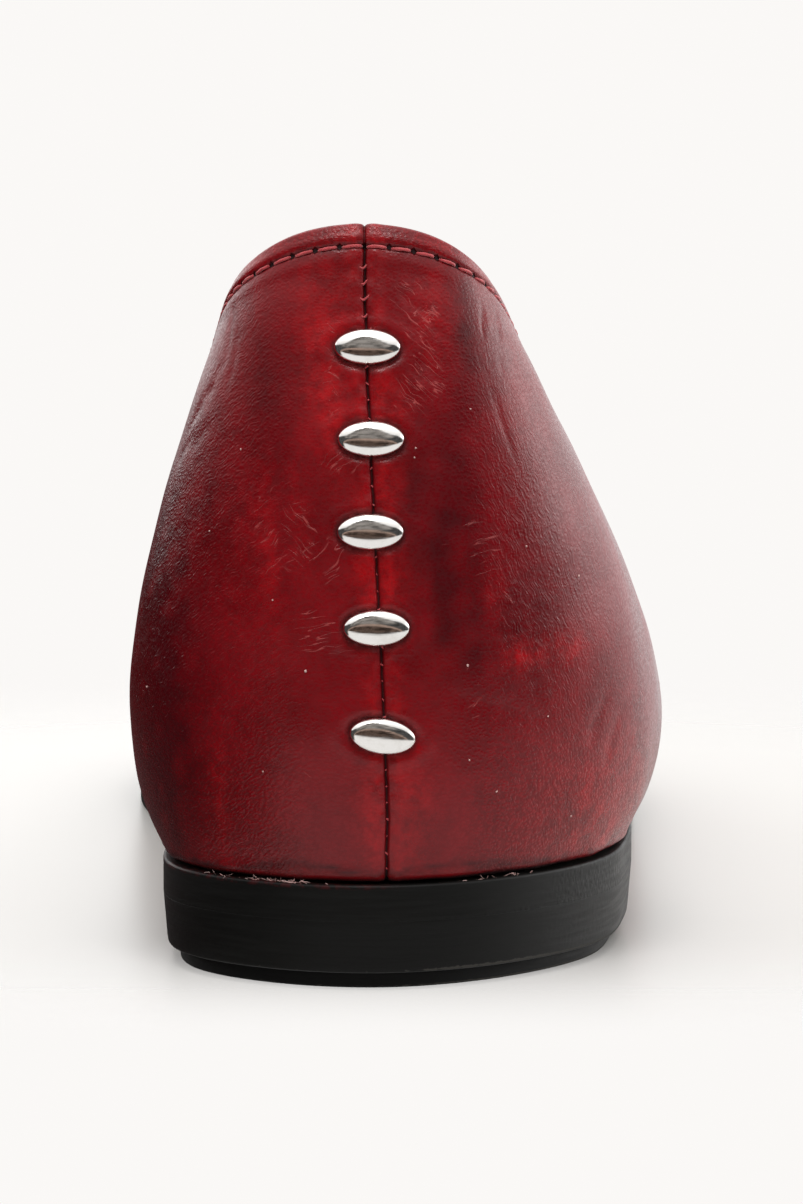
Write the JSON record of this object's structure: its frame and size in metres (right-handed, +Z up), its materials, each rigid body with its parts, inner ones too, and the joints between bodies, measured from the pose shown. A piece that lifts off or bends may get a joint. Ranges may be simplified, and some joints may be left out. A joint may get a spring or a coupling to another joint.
{
  "type": "ballet flat",
  "caption": "Right ballet flat with a hollow lasted leather upper, low stacked heel, curved outsole, insole and oval studs down the back seam.",
  "frame": {"origin": "on the ground under the middle of the shoe's bounding box", "axes": "+Y from heel to toe, +X to the outer (little toe) side, +Z up"},
  "size_m": [0.076, 0.2498, 0.087],
  "materials": {
    "leather": "deep red finished leather, fine grain, semi-gloss",
    "sole": "black, satin, fine texture on the edge",
    "lift": "black, matt",
    "sock": "plain tan lining leather, matt",
    "stud": "polished nickel plate"
  },
  "bodies": {
    "root": {"upper": "leather", "outsole": "sole", "heel_block": "sole", "heel_lift": "lift", "insole": "sock", "stud_1": "stud", "stud_2": "stud", "stud_3": "stud", "stud_4": "stud", "stud_5": "stud"}
  },
  "joints": []
}
